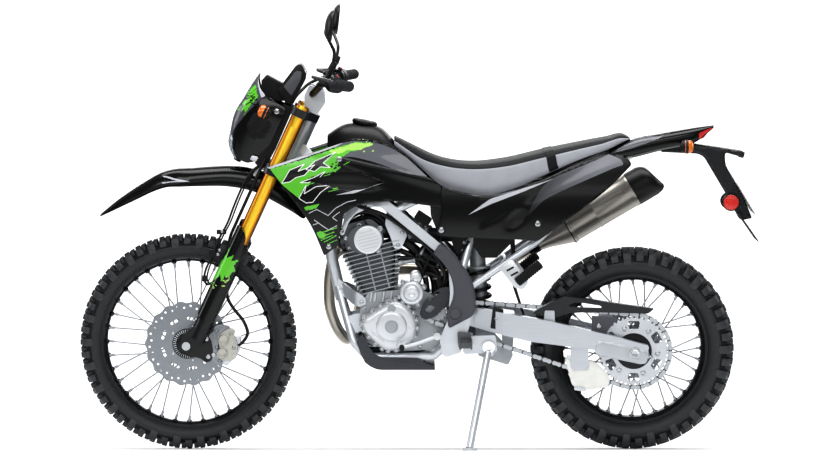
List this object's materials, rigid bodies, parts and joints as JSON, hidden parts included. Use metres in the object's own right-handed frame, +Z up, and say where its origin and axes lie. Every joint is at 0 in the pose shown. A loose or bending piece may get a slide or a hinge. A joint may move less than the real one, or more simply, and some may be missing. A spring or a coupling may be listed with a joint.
{
  "type": "dual sport motorcycle",
  "caption": "Light single-cylinder dual sport motorcycle with spoked wheels, knobbly tyres, high front fender and long seat, leaning on its side stand.",
  "frame": {"origin": "on the floor, at the centre of the space that the parked machine takes up seen from above", "axes": "+Z up, -X to the front of the machine, +Y to its right-hand side; it leans 8 degrees towards -Y, onto its side stand"},
  "size_m": [2.1024, 0.8788, 1.4193],
  "materials": {
    "front_tyre": "matt moulded rubber",
    "front_rim": "satin paint",
    "front_hub": "cast and satin",
    "front_disc": "fine machined",
    "rear_tyre": "matt moulded rubber",
    "rear_rim": "satin paint",
    "rear_hub": "cast and satin",
    "rear_disc": "fine machined",
    "rear_sprocket": "fine machined",
    "fork_clamps": "cast and satin",
    "fork_tubes": "cast and satin",
    "fork_sliders": "satin paint",
    "front_axle": "fine machined",
    "fork_guards": "moulded gloss",
    "front_brake": "cast and satin",
    "front_fender": "moulded gloss",
    "handlebar": "fine machined",
    "grips": "matt",
    "hand_controls": "moulded fine grain",
    "levers": "cast and satin",
    "mirrors": "moulded gloss",
    "headlight_cowl": "moulded gloss",
    "front_lamps": "moulded gloss",
    "meter": "moulded fine grain",
    "crankcase": "cast and satin",
    "engine_covers": "cast and satin",
    "cylinder_head": "cast and satin",
    "cylinder": "cast and satin",
    "airbox": "moulded fine grain",
    "exhaust_header": "fine machined",
    "muffler": "fine machined",
    "main_frame": "satin paint",
    "subframe": "satin paint",
    "frame_covers": "moulded fine grain",
    "swingarm": "cast and satin",
    "axle_bolts": "fine machined",
    "rear_caliper": "cast and satin",
    "shock_absorber": "satin paint",
    "shock_spring": "satin paint",
    "chain": "fine machined",
    "chain_guards": "moulded fine grain",
    "shrouds": "moulded gloss",
    "fuel_tank": "satin paint",
    "seat": "grained vinyl",
    "side_covers": "moulded gloss",
    "mud_flaps": "matt",
    "rear_fender": "moulded gloss",
    "rear_lamps": "moulded gloss",
    "plate_bracket": "moulded fine grain",
    "foot_controls": "fine machined",
    "skid_plate": "satin paint",
    "side_stand": "satin paint"
  },
  "bodies": {
    "chassis": {"crankcase": "crankcase", "engine_covers": "engine_covers", "cylinder_head": "cylinder_head", "cylinder": "cylinder", "airbox": "airbox", "exhaust_header": "exhaust_header", "muffler": "muffler", "main_frame": "main_frame", "subframe": "subframe", "frame_covers": "frame_covers", "swingarm": "swingarm", "axle_bolts": "axle_bolts", "rear_caliper": "rear_caliper", "shock_absorber": "shock_absorber", "shock_spring": "shock_spring", "chain": "chain", "chain_guards": "chain_guards", "shrouds": "shrouds", "fuel_tank": "fuel_tank", "seat": "seat", "side_covers": "side_covers", "mud_flaps": "mud_flaps", "rear_fender": "rear_fender", "rear_lamps": "rear_lamps", "plate_bracket": "plate_bracket", "foot_controls": "foot_controls", "skid_plate": "skid_plate"},
    "steering": {"fork_clamps": "fork_clamps", "fork_tubes": "fork_tubes", "fork_sliders": "fork_sliders", "front_axle": "front_axle", "fork_guards": "fork_guards", "front_brake": "front_brake", "front_fender": "front_fender", "handlebar": "handlebar", "grips": "grips", "hand_controls": "hand_controls", "levers": "levers", "mirrors": "mirrors", "headlight_cowl": "headlight_cowl", "front_lamps": "front_lamps", "meter": "meter"},
    "front_wheel": {"front_tyre": "front_tyre", "front_rim": "front_rim", "front_hub": "front_hub", "front_disc": "front_disc"},
    "rear_wheel": {"rear_tyre": "rear_tyre", "rear_rim": "rear_rim", "rear_hub": "rear_hub", "rear_disc": "rear_disc", "rear_sprocket": "rear_sprocket"},
    "side_stand": {"side_stand": "side_stand"}
  },
  "joints": [
    {"name": "steering", "type": "hinge", "parent": "chassis", "child": "steering", "pos_m": [-0.37313, 0.05127, 0.94541], "axis": [0.4163, -0.1265, 0.9004], "range_deg": [-45, 45]},
    {"name": "front_wheel_spin", "type": "hinge", "parent": "steering", "child": "front_wheel", "pos_m": [-0.71423, 0.13704, 0.33511], "axis": [0, 0.9903, 0.1392], "continuous": true},
    {"name": "rear_wheel_spin", "type": "hinge", "parent": "chassis", "child": "rear_wheel", "pos_m": [0.66577, 0.13992, 0.31461], "axis": [0, 0.9903, 0.1392], "continuous": true},
    {"name": "side_stand_fold", "type": "hinge", "parent": "chassis", "child": "side_stand", "pos_m": [0.21677, 0.00284, 0.31281], "axis": [-0.0587, -0.9638, 0.2599], "range_deg": [0, 101]}
  ]
}
